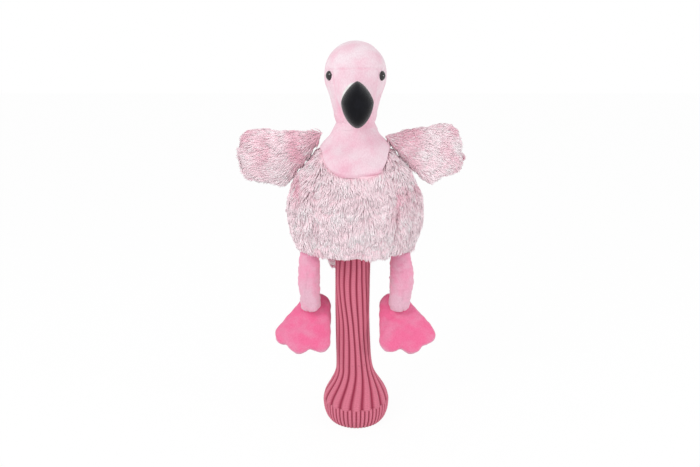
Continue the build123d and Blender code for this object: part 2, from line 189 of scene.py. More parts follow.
class StageSettings(bpy.types.PropertyGroup):
    """Camera, lights and floor."""

    focal_length: bpy.props.FloatProperty(
        name="Focal Length", description="On a sensor 36 mm wide", default=36.26, unit="CAMERA"
    )
    camera_place: bpy.props.FloatVectorProperty(
        name="Camera", description="Place of the camera, m", default=(-0.0057, -0.75, 0.42), unit="LENGTH"
    )
    camera_tilt: bpy.props.FloatProperty(
        name="Tilt", description="Camera below level", default=math.radians(14.8), unit="ROTATION"
    )
    key_power: bpy.props.FloatProperty(
        name="Key Light", description="Power of the large light at the left, W", default=7.2, min=0.0
    )
    fill_power: bpy.props.FloatProperty(
        name="Fill Light", description="Power of the light at the right, W", default=3.0, min=0.0
    )
    sky: bpy.props.FloatProperty(
        name="Sky", description="Strength of the even light all round", default=0.78, min=0.0
    )
    floor: colour("Floor", "FBFBFB", "Colour of the floor")


SETTINGS = {
    "plush": PlushSettings,
    "velour": VelourSettings,
    "knit": KnitSettings,
    "stuffing": StuffingSettings,
    "stage": StageSettings,
}


def settings(group):
    """One group of the scene's settings."""
    return getattr(bpy.context.scene, f"cover_{group}")


# ---------------------------------------------------------------- number tools


def smooth_curve(at, knots):
    """Values of a curve through knots (place, value, ...): a cubic between each two knots,
    whose slope at a knot is that of the line between its neighbours."""
    knots = np.asarray(knots, float)
    place, value = knots[:, 0], knots[:, 1:]
    slope = np.gradient(value, place, axis=0)
    at = np.clip(at, place[0], place[-1])
    i = np.clip(np.searchsorted(place, at, side="right") - 1, 0, len(place) - 2)
    step = place[i + 1] - place[i]
    t = ((at - place[i]) / step)[..., None]
    step = step[..., None]
    curve = (
        (2 * t**3 - 3 * t**2 + 1) * value[i]
        + (t**3 - 2 * t**2 + t) * step * slope[i]
        + (3 * t**2 - 2 * t**3) * value[i + 1]
        + (t**3 - t**2) * step * slope[i + 1]
    )
    return curve[..., 0] if curve.shape[-1] == 1 else curve


def smoothstep(value, start, end):
    """0 before start, 1 after end, and 3t^2 - 2t^3 between them."""
    t = np.clip((value - start) / (end - start), 0, 1)
    return t * t * (3 - 2 * t)


def waves(points, length, seed, terms=14):
    """Smooth random values, mostly from -1 to 1: a sum of sines in random directions,
    each with about the given wave length in mm."""
    rng = np.random.default_rng(seed)
    heading = rng.normal(size=(terms, 3))
    heading /= np.linalg.norm(heading, axis=1, keepdims=True)
    pace = 2 * math.pi / (length * rng.uniform(0.7, 1.5, terms))
    phase = rng.uniform(0, 2 * math.pi, terms)
    return np.sin(points @ (heading * pace[:, None]).T + phase).sum(-1) / math.sqrt(terms)


def unit(vectors):
    """Vectors of length 1."""
    return vectors / np.maximum(np.linalg.norm(vectors, axis=-1, keepdims=True), 1e-9)


def turned(vectors, axis, angle):
    """Vectors turned about an axis through the origin: v cos + (k x v) sin + k (k.v)(1 - cos)."""
    k = unit(np.asarray(axis, float))
    vectors = np.asarray(vectors, float)
    along = (vectors @ k)[..., None] * k
    return vectors * math.cos(angle) + np.cross(k, vectors) * math.sin(angle) + along * (1 - math.cos(angle))


def round_cone(points, start, end, start_radius, end_radius, tall=1.0):
    """Distance outside a cone with round ends, drawn taller by a factor along Z."""
    start, end = np.asarray(start, float), np.asarray(end, float)
    run = end - start
    share = np.clip((points - start) @ run / (run @ run), 0, 1)
    away = points - (start + share[..., None] * run)
    away = away * np.array((1, 1, 1 / tall))
    return np.linalg.norm(away, axis=-1) - (start_radius + share * (end_radius - start_radius))


def merged(first, second, soft):
    """The smaller of two distances, rounded where they meet over a width of soft."""
    share = np.clip(0.5 + 0.5 * (second - first) / soft, 0, 1)
    return second + (first - second) * share - soft * share * (1 - share)


def star_radius(centre, directions, distance, furthest):
    """How far from the centre each direction meets the surface where distance() is zero,
    found by halving the range 40 times."""
    near = np.zeros(directions.shape[:-1])
    far = np.full(directions.shape[:-1], float(furthest))
    for _ in range(40):
        middle = (near + far) / 2
        inside = distance(centre + directions * middle[..., None]) < 0
        near, far = np.where(inside, middle, near), np.where(inside, far, middle)
    return (near + far) / 2


# ---------------------------------------------------------------- mesh tools


def ring_grid(places, columns):
    """Places along a tube and angles around it, as two grids with a row for each place."""
    angles = np.linspace(0, 2 * math.pi, columns, endpoint=False)
    return np.meshgrid(places, angles, indexing="ij")


def grid_faces(rows, columns, closed):
    """Quads between neighbouring rows and columns. A closed grid joins its last column to its first."""
    across = columns if closed else columns - 1
    row, column = np.meshgrid(np.arange(rows - 1), np.arange(across), indexing="ij")
    beside = (column + 1) % columns
    corners = (
        row * columns + column,
        row * columns + beside,
        (row + 1) * columns + beside,
        (row + 1) * columns + column,
    )
    return np.stack(corners, -1).reshape(-1, 4)


def make_mesh(name, points, face_groups, attributes=None):
    """A mesh object from points in mm and arrays of faces, each array with its own corner count."""
    mesh = bpy.data.meshes.new(name)
    points = np.asarray(points, float).reshape(-1, 3) * MM
    corners = np.concatenate([group.ravel() for group in face_groups])
    sizes = np.concatenate([np.full(len(group), group.shape[1]) for group in face_groups])
    mesh.vertices.add(len(points))
    mesh.vertices.foreach_set("co", points.ravel().astype(np.float32))
    mesh.loops.add(len(corners))
    mesh.loops.foreach_set("vertex_index", corners.astype(np.int32))
    mesh.polygons.add(len(sizes))
    mesh.polygons.foreach_set("loop_start", (np.cumsum(sizes) - sizes).astype(np.int32))
    mesh.update(calc_edges=True)
    mesh.polygons.foreach_set("use_smooth", np.ones(len(sizes), bool))
    for attribute, values in (attributes or {}).items():
        set_attribute(mesh, attribute, values)
    piece = bpy.data.objects.new(name, mesh)
    bpy.context.scene.collection.objects.link(piece)
    return piece


def set_attribute(mesh, name, values):
    """Writes one number, or three as a colour, for each point."""
    values = np.asarray(values, np.float32)
    if values.ndim == 1:
        layer = mesh.attributes.new(name, "FLOAT", "POINT")
        layer.data.foreach_set("value", values)
        return
    layer = mesh.attributes.new(name, "FLOAT_COLOR", "POINT")
    rgba = np.ones((len(values), 4), np.float32)
    rgba[:, :3] = values
    layer.data.foreach_set("color", rgba.ravel())


def closed_mesh(name, grid, attributes=None):
    """A closed skin from rings of points that run anticlockwise seen from the last ring's end.
    Each end is closed by a face across its ring."""
    rows, columns = grid.shape[:2]
    ring = np.arange(columns)
    ends = np.stack([ring[::-1], (rows - 1) * columns + ring])
    return make_mesh(name, grid, [grid_faces(rows, columns, True), ends], attributes)


def points_of(piece):
    """A piece's points in mm."""
    flat = np.zeros(len(piece.data.vertices) * 3, np.float32)
    piece.data.vertices.foreach_get("co", flat)
    return flat.reshape(-1, 3).astype(float) / MM


def set_points(piece, points):
    """Moves a piece's points, given in mm."""
    piece.data.vertices.foreach_set("co", (points * MM).ravel().astype(np.float32))
    piece.data.update()


def normals_of(piece):
    """The outward direction at each of a piece's points."""
    flat = np.zeros(len(piece.data.vertices) * 3, np.float32)
    piece.data.vertex_normals.foreach_get("vector", flat)
    return flat.reshape(-1, 3).astype(float)


def add_modifier(piece, kind, **values):
    """A modifier with its settings."""
    modifier = piece.modifiers.new(kind.title(), kind)
    for key, value in values.items():
        setattr(modifier, key, value)
    return modifier


def apply_modifiers(piece):
    """Makes what the modifiers show the piece's own mesh."""
    graph = bpy.context.evaluated_depsgraph_get()
    graph.update()
    mesh = bpy.data.meshes.new_from_object(piece.evaluated_get(graph))
    piece.modifiers.clear()
    piece.data = mesh
    mesh.polygons.foreach_set("use_smooth", np.ones(len(mesh.polygons), bool))


def stuff(piece, voxel, most, seam):
    """Swells a closed pad as stuffing does. Pressure pushes the cloth out, the points that seam()
    picks are held, and no point moves further than most, all in mm. Then the mesh is divided once."""
    rules = settings("stuffing")
    add_modifier(piece, "REMESH", mode="VOXEL", voxel_size=voxel * MM, use_smooth_shade=True)
    apply_modifiers(piece)
    start = points_of(piece)
    held = np.flatnonzero(seam(start))
    if len(held):
        piece.vertex_groups.new(name="seam").add(held.tolist(), 1.0, "REPLACE")
    cloth = piece.modifiers.new("Cloth", "CLOTH")
    cloth.settings.use_pressure = True
    cloth.settings.uniform_pressure_force = rules.pressure
    cloth.settings.effector_weights.gravity = 0
    cloth.settings.vertex_group_mass = "seam" if len(held) else ""
    for step in range(1, rules.steps + 1):
        bpy.context.scene.frame_set(step)
    apply_modifiers(piece)
    move = points_of(piece) - start
    length = np.linalg.norm(move, axis=1, keepdims=True)
    set_points(piece, start + unit(move) * most * np.tanh(length / most))
    bpy.context.scene.frame_set(1)
    add_modifier(piece, "SUBSURF", levels=1, render_levels=1)
    apply_modifiers(piece)


def dress(piece, body, material, nodes=()):
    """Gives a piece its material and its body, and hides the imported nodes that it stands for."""
    piece.data.materials.clear()
    piece.data.materials.append(material)
    if body:
        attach(piece, body)
    if nodes:
        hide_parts(*nodes)
    return piece


# ---------------------------------------------------------------- long pile


def scatter(piece, amount, rng):
    """Points spread evenly over a piece's skin, with the skin's outward directions there.
    Triangles are picked in step along the running total of their areas."""
    piece.data.calc_loop_triangles()
    flat = np.zeros(len(piece.data.loop_triangles) * 3, np.int32)
    piece.data.loop_triangles.foreach_get("vertices", flat)
    triangles = flat.reshape(-1, 3)
    points, normals = points_of(piece), normals_of(piece)
    a, b, c = (points[triangles[:, i]] for i in range(3))
    total = np.cumsum(np.linalg.norm(np.cross(b - a, c - a), axis=1))
    step = (np.arange(amount) + rng.uniform(0, 1, amount)) / amount * total[-1]
    picked = triangles[np.minimum(np.searchsorted(total, step), len(triangles) - 1)]
    first, second = np.sqrt(rng.uniform(0, 1, amount)), rng.uniform(0, 1, amount)
    weights = np.stack([1 - first, first * (1 - second), first * second], -1)[..., None]
    return (points[picked] * weights).sum(1), unit((normals[picked] * weights).sum(1))


# places of a lock's rings along its length, and their shares of its width
LOCK_SHARES = np.array((0.0, 0.32, 0.62, 0.86))
LOCK_WIDTHS = np.array((0.8, 1.0, 0.72, 0.4))
# share of the way that a tip is drawn to its leader's tip, and locks from one leader to the next
GATHER = 0.3
LEADER_STEP = 30


def lock_faces(amount):
    """Faces of many locks: for each a triangle at the root, nine quads and three triangles at the tip."""
    rings, tip = len(LOCK_SHARES), 3 * len(LOCK_SHARES)
    quads = grid_faces(rings, 3, True)
    ends = [[2, 1, 0]] + [[3 * (rings - 1) + i, 3 * (rings - 1) + (i + 1) % 3, tip] for i in range(3)]
    start = (np.arange(amount) * (tip + 1))[:, None, None]
    return [(quads + start).reshape(-1, 4), (np.array(ends) + start).reshape(-1, 3)]


def pile(name, roots, normals, lay, length, width, rise, shade, seed):
    """Many curved, tapering locks of pile. A lock's line is root + lay * length * t + normal * rise *
    sin(0.65 pi t) + GATHER * t^2 * (way to the tip of the nearest leading lock). Its section is a
    triangle. Shade gives two numbers for each lock: how light and how pink it is."""
    rng = np.random.default_rng(seed)
    amount = len(roots)
    lay = unit(lay - (lay * normals).sum(-1, keepdims=True) * normals)
    side = unit(np.cross(lay, normals))
    tips = roots + lay * length[:, None] + normals * rise[:, None] * 0.89
    leaders = np.arange(0, amount, LEADER_STEP)
    rng.shuffle(leaders)
    nearest = np.concatenate([
        ((part[:, None] - roots[leaders][None]) ** 2).sum(-1).argmin(1)
        for part in np.array_split(roots, max(1, amount // 500))
    ])
    pull = (tips[leaders][nearest] - tips) * GATHER
    curl = side * (rng.normal(0, 0.09, amount) * length)[:, None]
    t = np.append(LOCK_SHARES, 1.0)[None, :, None]
    line = (
        roots[:, None] - 0.8 * normals[:, None]
        + lay[:, None] * (length[:, None, None] * t)
        + normals[:, None] * (rise[:, None, None] * np.sin(0.65 * math.pi * t))
        + (pull + curl)[:, None] * t**2
    )
    spin = rng.uniform(0, 2 * math.pi, amount)[:, None] + np.arange(3) * 2 * math.pi / 3
    ring = np.cos(spin)[..., None] * side[:, None] + 0.7 * np.sin(spin)[..., None] * normals[:, None]
    radius = width[:, None] / 2 * LOCK_WIDTHS[None]
    rings = line[:, :-1, None] + ring[:, None] * radius[..., None, None]
    points = np.concatenate([rings.reshape(amount, -1, 3), line[:, -1:]], 1)
    along = np.concatenate([np.repeat(LOCK_SHARES, 3), [1.0]])
    info = np.empty((amount, len(along), 3))
    info[..., 0] = along
    info[..., 1] = shade[:, :1]
    info[..., 2] = shade[:, 1:2]
    return make_mesh(name, points, lock_faces(amount), {"pile": info.reshape(-1, 3)})


def plush_on(base, name, amount, seed, lay, pink_and_shade, length=1.0, rise=1.0):
    """Covers a backing cloth in long pile. lay(points, normals) gives the pile's direction,
    blush(points) how pink it is from 0 to 1, and length and rise scale the settings'."""
    rules = settings("plush")
    rng = np.random.default_rng(seed)
    roots, normals = scatter(base, amount, rng)
    direction = lay(roots, normals)
    swirl = waves(roots, 26, seed + 1)[:, None] * 0.35 + rng.normal(0, 0.16, (amount, 1))
    direction = unit(direction) + np.cross(normals, unit(direction)) * swirl
    tuft = 1 + 0.16 * waves(roots, 15, seed + 2) + rng.normal(0, 0.12, amount)
    scale = length(roots) if callable(length) else length
    lengths = rules.length * scale * np.clip(tuft, 0.5, 1.5)
    stand = 1 + 0.35 * waves(roots, 11, seed + 3) + rng.normal(0, 0.25, amount)
    rises = rules.rise * rise * np.clip(stand, 0.2, 2)
    widths = rules.width * rng.uniform(0.65, 1.25, amount)
    light = np.clip(0.5 + 0.28 * waves(roots, 18, seed + 4) + rng.normal(0, 0.17, amount), 0, 1)
    # how pink each lock is: the cloth's own pinker places together with painted shade
    pink = np.clip(pink_and_shade(roots) + 0.13 * waves(roots, 30, seed + 5) + rng.normal(0, 0.06, amount), 0, 1)
    shade = np.stack([light, pink], -1)
    return pile(name, roots, normals, direction, lengths, widths, rises, shade, seed + 6)


# ---------------------------------------------------------------- materials


def add_node(tree, kind, inputs=None, links=None, **values):
    """Adds a node, sets its values and inputs, and links its other inputs to sockets."""
    node = tree.nodes.new(kind)
    for key, value in values.items():
        setattr(node, key, value)
    for key, value in (inputs or {}).items():
        node.inputs[key].default_value = value
    for key, socket in (links or {}).items():
        tree.links.new(socket, node.inputs[key])
    return node


def new_material(name, shader):
    """A material with one principled shader, its tree and the shader."""
    material = bpy.data.materials.new(name)
    material.use_nodes = True
    tree = material.node_tree
    tree.nodes.clear()
    surface = add_node(tree, "ShaderNodeBsdfPrincipled", shader)
    add_node(tree, "ShaderNodeOutputMaterial", links={"Surface": surface.outputs[0]})
    return material, tree, surface


def mix(tree, share, first, second, blend_type="MIX"):
    """A mix of two colours, each a socket or a fixed colour, by a share that is a socket or a number."""
    node = add_node(tree, "ShaderNodeMix", data_type="RGBA", blend_type=blend_type)
    for index, value in ((0, share), (6, first), (7, second)):
        if isinstance(value, bpy.types.NodeSocket):
            tree.links.new(value, node.inputs[index])
        else:
            node.inputs[index].default_value = value
    return node.outputs[2]


def noise(tree, place, millimetres, detail=2.0, rough=0.5):
    """Noise whose blotches are about that many millimetres across."""
    values = {"Scale": 1 / (millimetres * MM), "Detail": detail, "Roughness": rough}
    return add_node(tree, "ShaderNodeTexNoise", values, {"Vector": place}).outputs[0]


def ranged(tree, value, start, end, low_out=0.0, high_out=1.0):
    """A value moved smoothly from one range to another."""
    inputs = {1: start, 2: end, 3: low_out, 4: high_out}
    node = add_node(tree, "ShaderNodeMapRange", inputs, {0: value}, interpolation_type="SMOOTHSTEP")
    return node.outputs[0]


def bump(tree, surface, height, millimetres, strength=1.0):
    """Feeds a height that is that many millimetres deep to a shader's normal."""
    values = {"Strength": strength, "Distance": millimetres * MM}
    node = add_node(tree, "ShaderNodeBump", values, {"Height": height})
    tree.links.new(node.outputs[0], surface.inputs["Normal"])


def object_place(tree, stretch=(1, 1, 1)):
    """Object coordinates, squeezed along each axis so that a pattern is drawn out along it."""
    place = add_node(tree, "ShaderNodeTexCoord").outputs["Object"]
    return add_node(tree, "ShaderNodeMapping", {"Scale": stretch}, {"Vector": place}).outputs[0]


def long_plush():
    """Polyester faux fur, 11 mm pile. To the eye: dull, soft and pale, whiter where tips catch the light,
    and darker and pinker down between the locks in painted shade near their roots, with random blotches."""
    rules = settings("plush")
    material, tree, surface = new_material("long_pile_plush", {
        "Roughness": 0.85, "Specular IOR Level": 0.15, "Sheen Weight": 0.8, "Sheen Roughness": 0.6,
    })
    info = add_node(tree, "ShaderNodeAttribute", attribute_name="pile").outputs["Color"]
    parts = add_node(tree, "ShaderNodeSeparateColor", links={0: info}).outputs
    along, light, pink = parts[0], parts[1], parts[2]
    tone = mix(tree, ranged(tree, pink, 0.15, 0.95), tuple(rules.pale), tuple(rules.pink_and_shade))
    tone = mix(tree, ranged(tree, light, 0.45, 1.0, 0.0, 0.75), tone, tuple(rules.bloom))
    # painted shade: near its root each lock takes the root colour, darker and pinker
    tone = mix(tree, ranged(tree, along, 0.05, 0.75), tuple(rules.root), tone)
    tree.links.new(tone, surface.inputs["Base Color"])
    bump(tree, surface, noise(tree, object_place(tree), 0.9, 1.0), 0.15, 0.5)
    return material


def velour(name, main, other, blotch=16.0, nap=0.9):
    """Short polyester pile, about 1.5 mm. To the eye: soft and matt with a pale sheen at the edges,
    and cloudy where the pile is brushed one way or the other. The tint attribute moves places towards the second
    colour: on the head and bib it carries painted shade, on the feet painted sheen. The nap is drawn as coarse as
    shows."""
    material, tree, surface = new_material(name, {
        "Roughness": 0.9, "Specular IOR Level": 0.15, "Sheen Weight": 0.35, "Sheen Roughness": 0.45,
    })
    place = object_place(tree)
    cloud = ranged(tree, noise(tree, place, blotch, 3.0, 0.6), 0.38, 0.68)
    tint = add_node(tree, "ShaderNodeAttribute", attribute_name="tint").outputs["Fac"]
    share = add_node(tree, "ShaderNodeMath", {1: 0.4}, {0: cloud, 2: tint}, operation="MULTIPLY_ADD")
    tone = mix(tree, share.outputs[0], main, other)
    fine = noise(tree, object_place(tree, (1, 1, 0.45)), nap, 2.0, 0.6)
    tone = mix(tree, ranged(tree, fine, 0.3, 0.7, 0.0, 0.35), tone, (1, 1, 1, 1), "SOFT_LIGHT")
    tree.links.new(tone, surface.inputs["Base Color"])
    bump(tree, surface, fine, 0.45, 0.7)
    return material


def yarn():
    """Acrylic double-knit yarn. To the eye: matt and fibrous, dark and saturated in the furrows
    where light is lost between the ribs, paler and fuzzy on the tops of the stitches."""
    rules = settings("knit")
    material, tree, surface = new_material("ribbed_acrylic_knit", {
        "Roughness": 0.9, "Specular IOR Level": 0.2, "Sheen Weight": 0.2, "Sheen Roughness": 0.5,
    })
    depth = add_node(tree, "ShaderNodeAttribute", attribute_name="ridge").outputs["Fac"]
    tone = mix(tree, ranged(tree, depth, 0.1, 0.95), tuple(rules.furrow), tuple(rules.yarn))
    fibre = noise(tree, object_place(tree), 0.5, 2.0, 0.7)
    tone = mix(tree, ranged(tree, fibre, 0.3, 0.75, 0.0, 0.5), tone, linear("F2B4C4"), "SOFT_LIGHT")
    tree.links.new(tone, surface.inputs["Base Color"])
    bump(tree, surface, fibre, 0.3, 0.6)
    return material


def plain_cloth(name, hex_colour, thread):
    """Woven or bonded cloth. To the eye: two sets of threads, one over the other, that many mm apart."""
    material, tree, surface = new_material(name, {"Roughness": 0.9, "Sheen Weight": 0.1})
    ways = [
        add_node(
            tree, "ShaderNodeTexWave", {"Scale": 1 / (thread * MM) / 20, "Distortion": 1.5, "Detail": 1.0},
            {"Vector": object_place(tree)}, bands_direction=axis,
        ).outputs["Fac"]
        for axis in ("X", "Z")
    ]
    crossing = add_node(tree, "ShaderNodeMath", links={0: ways[0], 1: ways[1]}, operation="MULTIPLY")
    threads = crossing.outputs[0]
    shade = ranged(tree, threads, 0.0, 1.0, 0.0, 0.35)
    tone = mix(tree, shade, linear(hex_colour), (1, 1, 1, 1), "SOFT_LIGHT")
    tree.links.new(tone, surface.inputs["Base Color"])
    bump(tree, surface, threads, 0.2, 0.5)
    return material


def wadding(name, hex_colour, tuft):
    """Polyester fibre in a loose mass. To the eye: matt white with soft clouds where it is tufted."""
    material, tree, surface = new_material(name, {"Roughness": 1.0, "Sheen Weight": 0.3})
    cloud = noise(tree, object_place(tree), tuft, 4.0, 0.7)
    tone = mix(tree, ranged(tree, cloud, 0.3, 0.7), linear(hex_colour), linear("DADAD6"))
    tree.links.new(tone, surface.inputs["Base Color"])
    bump(tree, surface, cloud, 1.2, 0.8)
    return material


def moulded(name, hex_colour, rough, coat=0.0):
    """Injection moulded plastic. To the eye: even colour, smooth, with faint flow marks in its gloss."""
    material, tree, surface = new_material(name, {
        "Roughness": rough, "IOR": 1.49, "Coat Weight": coat, "Coat Roughness": 0.03,
    })
    flow = noise(tree, object_place(tree), 2.5, 2.0)
    tone = mix(tree, ranged(tree, flow, 0.3, 0.7, 0.0, 0.3), linear(hex_colour), linear("2A1A1A"))
    tree.links.new(tone, surface.inputs["Base Color"])
    bump(tree, surface, flow, 0.01, 0.3)
    return material


# ---------------------------------------------------------------- body

# share of the height from hem to neck root, of the half width and of the half depth
BODY_RINGS = ((0.0, 0.907, 0.906), (0.3306, 1.0, 1.0), (0.529, 0.947, 0.9375), (1.0, 0.387, 0.422))
# mm above the neck's root, and the neck's radius there
NECK_RINGS = ((8.5, 24.0), (18.0, 20.6), (25.0, 20.8), (33.0, 20.0))
# degrees from the front, and the height of the bib's seam above the hem
BIB_SEAM = ((0, 83.0), (24, 85.0), (44, 95.0), (62, 103.5), (90, 106.5), (180, 105.0))
CREASE_X = 40.0


def cover_radii(z):
    """Half width and half depth of the body and neck at a height: a smooth curve through the rings."""
    rise = NECK_Z - HEM_Z
    rings = [(HEM_Z + h * rise, w * BODY_HALF_WIDTH, d * BODY_HALF_DEPTH) for h, w, d in BODY_RINGS]
    rings += [(NECK_Z + h, r, r) for h, r in NECK_RINGS]
    return smooth_curve(z, rings)


def bib_seam_z(angle):
    """Height of the bib's seam at an angle from the front: a smooth curve, low in front like a U."""
    from_front = np.degrees(np.abs((angle + math.pi) % (2 * math.pi) - math.pi))
    return HEM_Z + smooth_curve(from_front, BIB_SEAM)


def body_point(angle, z, inset):
    """A point of the body's surface: (rx sin a, -ry cos a, z), drawn in by inset."""
    radii = cover_radii(z) - np.asarray(inset)[..., None]
    return np.stack([radii[..., 0] * np.sin(angle), -radii[..., 1] * np.cos(angle), z], -1)


def panel_grid(first, last, rows=40, columns=60):
    """The backing of one body panel between two seams: it starts under the hem, turns up round it and
    ends at the bib's seam, and it is pulled in by 2.5 mm along its seams."""
    share, across = np.meshgrid(np.linspace(0, 1, rows), np.linspace(0, 1, columns), indexing="ij")
    angle = first(share) + (last(share) - first(share)) * across
    top = bib_seam_z(angle)
    under = smooth_curve(share, ((0, 15.0), (0.06, 6.0), (0.12, 1.0), (0.2, 0.0), (1, 0.0)))
    z = HEM_Z + smooth_curve(share, ((0, 3.0), (0.06, 0.5), (0.12, 2.5), (0.2, 8.0)))
    z = np.where(share > 0.2, HEM_Z + 8 + (top - HEM_Z - 8) * (share - 0.2) / 0.8, z)
    from_seam = np.minimum(across, 1 - across) * np.abs(last(share) - first(share)) * BODY_HALF_WIDTH
    pulled = 2.5 * np.exp(-((from_seam / 5.0) ** 2)) * smoothstep(share, 0.1, 0.25)
    lumps = 1.0 * waves(body_point(angle, z, 0.0 * z), 34, 21)
    return body_point(angle, z, settings("plush").inset + under + pulled - lumps)


def seam_angle(share):
    """Angle from the front of the seam that stands CREASE_X from the middle, at each height."""
    return math.asin(CREASE_X / BODY_HALF_WIDTH) + 0.12 * share


PANELS = {
    "belly_panel": (lambda h: -seam_angle(h), seam_angle),
    "flank_panel_right": (seam_angle, lambda h: math.pi - seam_angle(h)),
    "back_panel": (lambda h: math.pi - seam_angle(h), lambda h: math.pi + seam_angle(h)),
    "flank_panel_left": (lambda h: math.pi + seam_angle(h), lambda h: 2 * math.pi - seam_angle(h)),
}


def hanging(points, normals):
    """Pile that lies straight down, and at the hem a little inwards."""
    down = np.zeros_like(points)
    down[:, Z] = -1.0
    return down - normals * 0.05


def body_painted_shade(points):
    """Painted shade: pinker under the wings and in the creases beside the seams, palest at the belly's sides."""
    wing = np.exp(-(((np.abs(points[:, X]) - 62) / 14) ** 2 + ((points[:, Z] - HEM_Z - 76) / 22) ** 2))
    crease = np.exp(-(((np.abs(points[:, X]) - CREASE_X) / 5) ** 2)) * (points[:, Y] < 0)
    return 0.12 + 0.55 * wing + 0.25 * crease


def hem_length(points):
    """Pile is shorter where it is rooted low, so that the fringe ends level with the hem."""
    return np.clip((points[:, Z] - HEM_Z + 5) / 13, 0.42, 1.0)


class CoverPanels(bpy.types.Operator):
    """Builds the four long pile panels of the body."""

    bl_idname = "cover.panels"
    bl_label = "Body Panels"

    def execute(self, context):
        cloth = long_plush()
        amount = settings("plush").body_locks
        for number, (name, (first, last)) in enumerate(PANELS.items()):
            grid = panel_grid(first, last)
            rows, columns = grid.shape[:2]
            # the backing is drawn mostly in the root colour, the painted shade deep in the pile
            info = np.tile((0.3, 0.4, 0.4), (rows * columns, 1))
            backing = make_mesh(f"{name}_backing", grid, [grid_faces(rows, columns, False)], {"pile": info})
            locks = plush_on(
                backing, f"{name}_pile", amount, 100 + 10 * number, hanging, body_painted_shade, length=hem_length
            )
            add_modifier(backing, "SOLIDIFY", thickness=1.2 * MM, offset=-1.0)
            dress(backing, "root", cloth, [name])
            dress(locks, "root", cloth)
        return {"FINISHED"}


class CoverUnderside(bpy.types.Operator):
    """Builds the gathered underside between the sock and the hem. A ring of points at share s from
    the sock to the hem stands at z + gather * sin(24 a) * s (1 - s)."""

    bl_idname = "cover.underside"
    bl_label = "Underside"

    def execute(self, context):
        share, angle = ring_grid(np.linspace(0, 1, 14), 192)
        outer = cover_radii(np.full(share.shape, HEM_Z)) - 14.0
        inner = TUBE_RADIUS + 0.5
        gathers = 1.6 * np.sin(24 * angle + 2 * np.sin(3 * angle)) * 4 * share * (1 - share)
        z = HEM_Z + 2.6 + gathers
        radii = inner + (outer - inner) * share[..., None]
        bottom = np.stack([radii[..., 0] * np.cos(angle), radii[..., 1] * np.sin(angle), z], -1)
        piece = make_mesh("underside_panel_cloth", bottom, [grid_faces(*share.shape, True)[:, ::-1]])
        add_modifier(piece, "SOLIDIFY", thickness=1.5 * MM, offset=-1.0)
        dress(piece, "root", velour("underside_velour", linear("EFC0D0"), linear("E6A4BB")))
        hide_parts("underside_panel")
        return {"FINISHED"}


def bib_cloth():
    """The short pile of the head and bib."""
    rules = settings("velour")
    return velour("pale_short_pile", tuple(rules.head), tuple(rules.head_pink_and_shade), 20.0, 1.1)


class CoverBib(bpy.types.Operator):
    """Builds the bib with the neck, and the neck's upper sleeve, which runs into the head. Each ring
    is the body's own section, (rx sin a, -ry cos a), drawn in by a few mm."""

    bl_idname = "cover.bib"
    bl_label = "Bib and Neck"

    def execute(self, context):
        cloth = bib_cloth()
        share, angle = ring_grid(np.linspace(0, 1, 90), 200)
        edge = smoothstep(share, 0.0, 0.07)
        seam = bib_seam_z(angle)
        top = NECK_Z + 8.0
        z = seam - 1.5 * (1 - edge) + (top - seam) * share
        inset = 1.8 + 4.5 * (1 - edge) - 1.3 * np.sin(math.pi * np.clip(share * 1.6, 0, 1))
        folds = 0.9 * waves(body_point(angle, z, 0.0 * z), 24, 31) * (1 - smoothstep(share, 0.75, 1))
        grid = body_point(angle, z, inset - folds)
        # painted shade: the tint rises at the front of the throat, under the head, and along the bib's lower edge
        # beside the body's pile; its base is the bib's own tone and its waves are random blotches
        throat_shade = np.exp(-((grid[..., 0] / 16) ** 2) - ((z - NECK_Z + 2) / 14) ** 2)
        tint = 0.30 + 0.3 * throat_shade * (grid[..., 1] < 0)
        tint += 0.25 * np.exp(-((share / 0.08) ** 2)) + 0.15 * waves(grid, 22, 33)
        bib = closed_mesh("bib_and_neck", grid, {"tint": tint.ravel()})
        dress(bib, None, cloth, ["breast_panel", "nape_panel"])
        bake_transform(bib)

        share, angle = share[::3], angle[::3]
        z = top - 2 + share * (BEND_Z + 12 - top)
        grid = body_point(angle, z, 1.8 + 0.0 * z)
        sleeve = closed_mesh("neck_sleeve", grid, {"tint": np.full(z.size, 0.35)})
        dress(sleeve, None, cloth)
        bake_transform(sleeve)
        return {"FINISHED"}


# ---------------------------------------------------------------- head

EYE_CENTRE = np.array([(low("eye_right", i) + high("eye_right", i)) / 2 for i in range(3)])
BEAK_SEAM_Y = high("beak_right", Y)
BEAK_LEAN = 1.6  # how far the beak stands to the right of the head's middle
HEAD_MIDDLE = np.array((0.0, -12.0, HEAD_Z - 16.0))


def head_distance(points):
    """Distance outside the head: a ball, a jaw that narrows into the neck, and a muzzle that narrows
    forwards and down to the beak, with rounded meetings."""
    skull = np.linalg.norm(points - (0, 0, HEAD_Z), axis=-1) - HEAD_RADIUS
    jaw = round_cone(points, (0, 0, HEAD_Z - 10), (0, 0, HEAD_Z - 40), 30.2, 22.9)
    muzzle = round_cone(
        points, (0, -13, HEAD_Z - 14), (BEAK_LEAN, BEAK_SEAM_Y + 14, HEAD_Z - 27), 23.0, 16.6, 1.22
    )
    return merged(merged(skull, jaw, 5.0), muzzle, 7.0)


def face_seams(points):
    """How near each point is to the brow seam and the two seams beside the muzzle, from 0 to 1."""
    x, y, z = points[..., 0], points[..., 1], points[..., 2] - HEAD_Z
    front = smoothstep(-y, 4, 14)
    brow = np.exp(-(((z - 5.5 + x**2 / 500) / 0.9) ** 2)) * (np.abs(x) < 27)
    edge = smooth_curve(z, ((-48, 13.0), (-36, 16.5), (-22, 20.0), (-6, 22.0), (4, 24.0)))
    cheek = np.exp(-(((np.abs(x) - edge) / 0.8) ** 2)) * (z < 4)
    return np.clip(brow + cheek, 0, 1) * front


